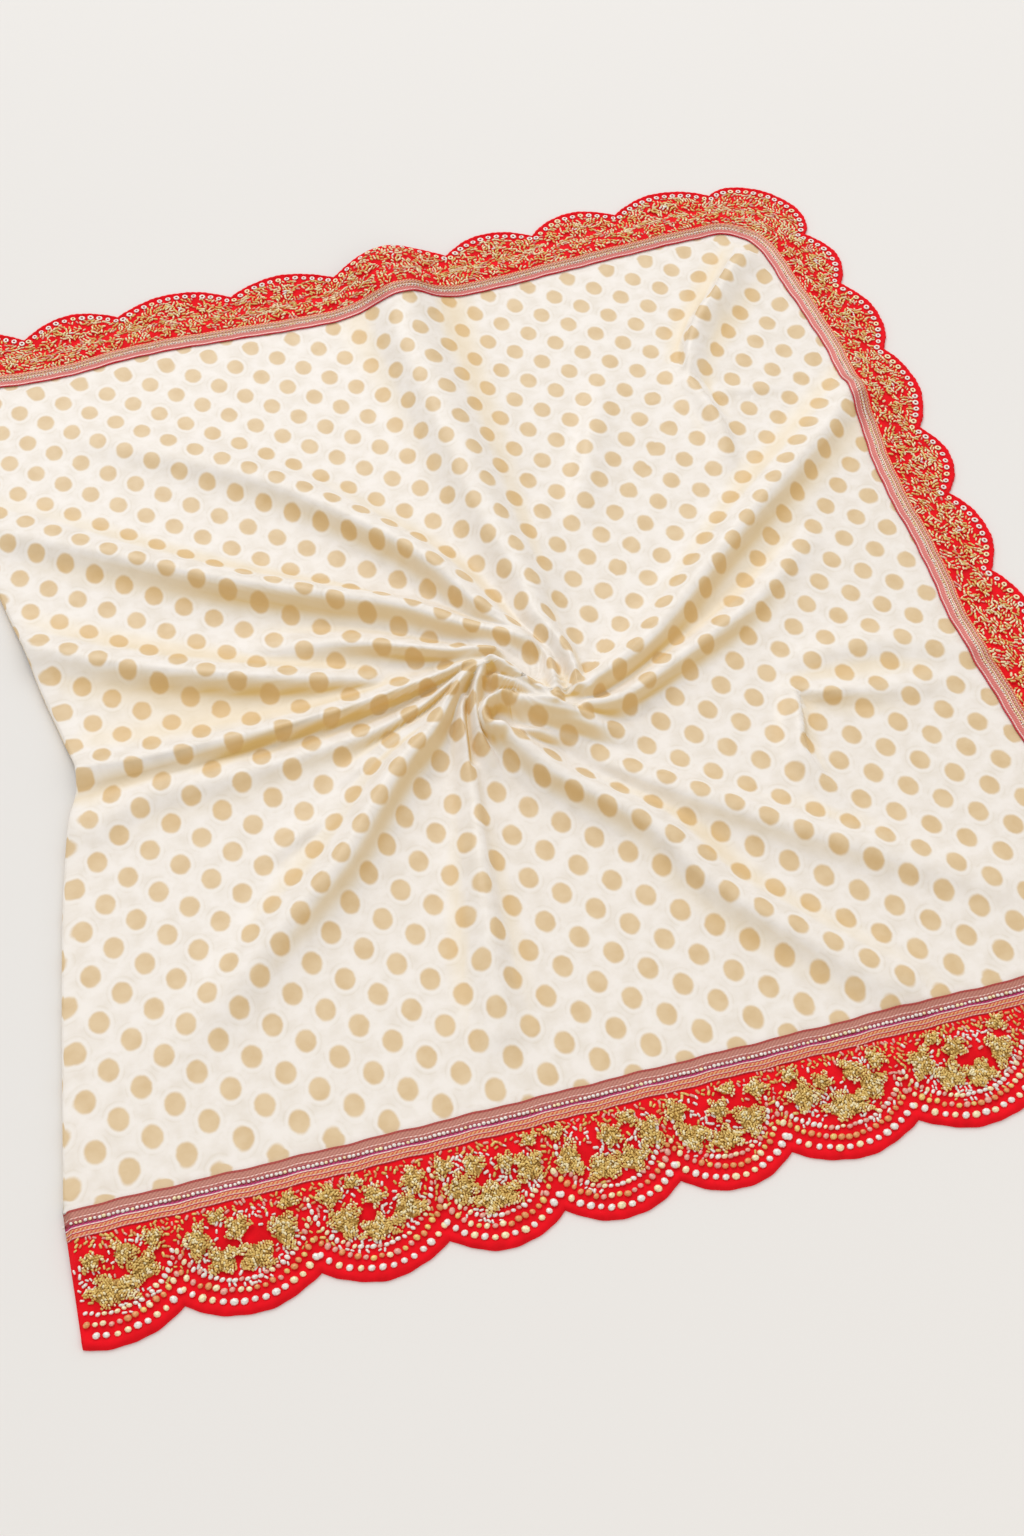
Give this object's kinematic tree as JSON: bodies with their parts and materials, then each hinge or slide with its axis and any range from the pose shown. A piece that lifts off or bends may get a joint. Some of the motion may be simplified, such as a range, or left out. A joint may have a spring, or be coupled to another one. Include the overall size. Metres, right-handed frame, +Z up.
{
  "type": "saree laid flat with its rest folded beneath",
  "caption": "Dotted silk saree with scalloped embroidered borders, laid flat, pinched and twisted in the middle, the rest of its length folded beneath.",
  "frame": {"origin": "middle of the underside, where the folded length rests on the table", "axes": "+X along the near border towards the end border, +Y towards the far border, +Z up from the table"},
  "size_m": [0.9833, 1.1348, 0.0526],
  "materials": {
    "dotted_silk": "cream silk satin with woven gold dots",
    "border_felt": "bright red felted cloth with gold and silver embroidery",
    "braid": "rose and gold metallic braid"
  },
  "bodies": {
    "root": {"silk_panel": "dotted_silk", "folded_length": "dotted_silk", "border_near": "border_felt", "border_end": "border_felt", "border_far": "border_felt", "braid_near": "braid", "braid_end": "braid", "braid_far": "braid"}
  },
  "joints": []
}
